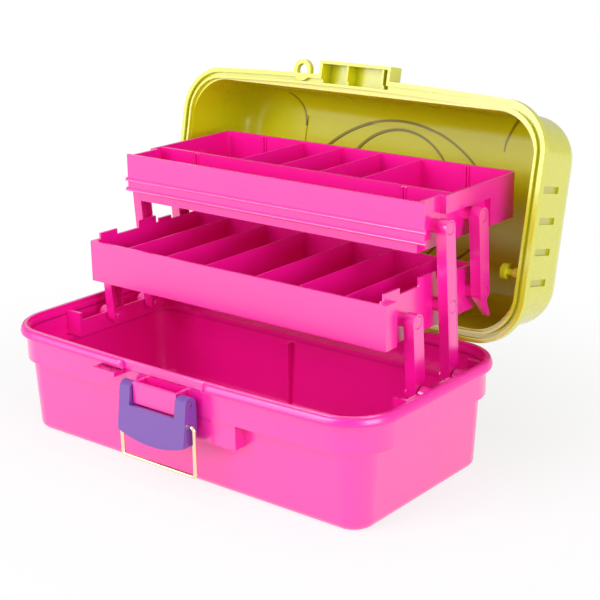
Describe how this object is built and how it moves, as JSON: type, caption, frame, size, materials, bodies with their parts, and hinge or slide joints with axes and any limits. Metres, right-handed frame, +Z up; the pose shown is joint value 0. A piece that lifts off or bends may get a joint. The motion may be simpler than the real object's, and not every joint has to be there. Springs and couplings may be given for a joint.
{
  "type": "art supply box",
  "caption": "Moulded art supply box whose divided trays rise on cantilever arms as the lid opens, with a front latch lever, wire bail and carrying handle.",
  "frame": {"origin": "middle of the tub's underside, on the surface it stands on", "axes": "+X to the right along the length, -Y towards the latch at the front, +Z up"},
  "size_m": [0.35, 0.3136, 0.2736],
  "materials": {
    "pink_plastic": "satin",
    "lime_plastic": "satin",
    "purple_plastic": "satin",
    "brass_wire": "polished",
    "steel_pin": "brushed"
  },
  "bodies": {
    "base": {"base_tub": "pink_plastic", "latch_housing": "pink_plastic", "arm_bracket_left": "pink_plastic", "arm_bracket_right": "pink_plastic", "hinge_pins": "steel_pin", "base_pivot_pins": "pink_plastic", "latch_pivot_pins": "steel_pin"},
    "front_arms": {"front_arm_left": "pink_plastic", "front_arm_right": "pink_plastic"},
    "main_arms": {"main_arm_left": "pink_plastic", "main_arm_right": "pink_plastic"},
    "rear_arms": {"rear_arm_left": "pink_plastic", "rear_arm_right": "pink_plastic"},
    "lower_tray": {"lower_tray": "pink_plastic", "lower_tray_dividers": "pink_plastic", "lower_tray_pins": "pink_plastic"},
    "upper_tray": {"upper_tray": "pink_plastic", "upper_tray_dividers": "pink_plastic", "upper_tray_pins": "pink_plastic"},
    "lid": {"lid_shell": "lime_plastic", "lid_knuckles": "lime_plastic", "handle_lugs": "lime_plastic", "lid_pegs": "lime_plastic", "handle_pins": "steel_pin"},
    "carry_handle": {"carry_handle": "lime_plastic"},
    "latch_lever": {"latch_lever": "purple_plastic"},
    "wire_bail": {"latch_bail": "brass_wire"}
  },
  "joints": [
    {"name": "lid_hinge", "type": "hinge", "parent": "base", "child": "lid", "pos_m": [0, 0.09175, 0.08235], "axis": [1, 0, 0], "range_deg": [0, 102]},
    {"name": "front_arm_fold", "type": "hinge", "parent": "base", "child": "front_arms", "pos_m": [0, 0.0072, 0.07297], "axis": [1, 0, 0], "range_deg": [0, 50]},
    {"name": "main_arm_fold", "type": "hinge", "parent": "base", "child": "main_arms", "pos_m": [0, 0.0502, 0.07297], "axis": [1, 0, 0], "range_deg": [0, 50]},
    {"name": "lower_tray_level", "type": "hinge", "parent": "main_arms", "child": "lower_tray", "pos_m": [0, 0.046, 0.1263], "axis": [1, 0, 0], "range_deg": [-50, 0]},
    {"name": "upper_tray_level", "type": "hinge", "parent": "main_arms", "child": "upper_tray", "pos_m": [0, 0.04145, 0.18412], "axis": [1, 0, 0], "range_deg": [-50, 0]},
    {"name": "rear_arm_fold", "type": "hinge", "parent": "lower_tray", "child": "rear_arms", "pos_m": [0, 0.089, 0.1263], "axis": [1, 0, 0], "range_deg": [0, 50]},
    {"name": "latch_lift", "type": "hinge", "parent": "base", "child": "latch_lever", "pos_m": [0, -0.0975, 0.07], "axis": [-1, 0, 0], "range_deg": [0, 100]},
    {"name": "bail_swing", "type": "hinge", "parent": "latch_lever", "child": "wire_bail", "pos_m": [0, -0.099, 0.054], "axis": [-1, 0, 0], "range_deg": [0, 80]},
    {"name": "handle_swing", "type": "hinge", "parent": "lid", "child": "carry_handle", "pos_m": [0, 0.19959, 0.15323], "axis": [1, 0, 0], "range_deg": [-12, 78]}
  ],
  "couplings": [
    {"joint": "front_arm_fold", "follows": "lid_hinge", "ratio": 0.4902},
    {"joint": "main_arm_fold", "follows": "lid_hinge", "ratio": 0.4902},
    {"joint": "lower_tray_level", "follows": "lid_hinge", "ratio": -0.4902},
    {"joint": "upper_tray_level", "follows": "lid_hinge", "ratio": -0.4902},
    {"joint": "rear_arm_fold", "follows": "lid_hinge", "ratio": 0.4902}
  ]
}
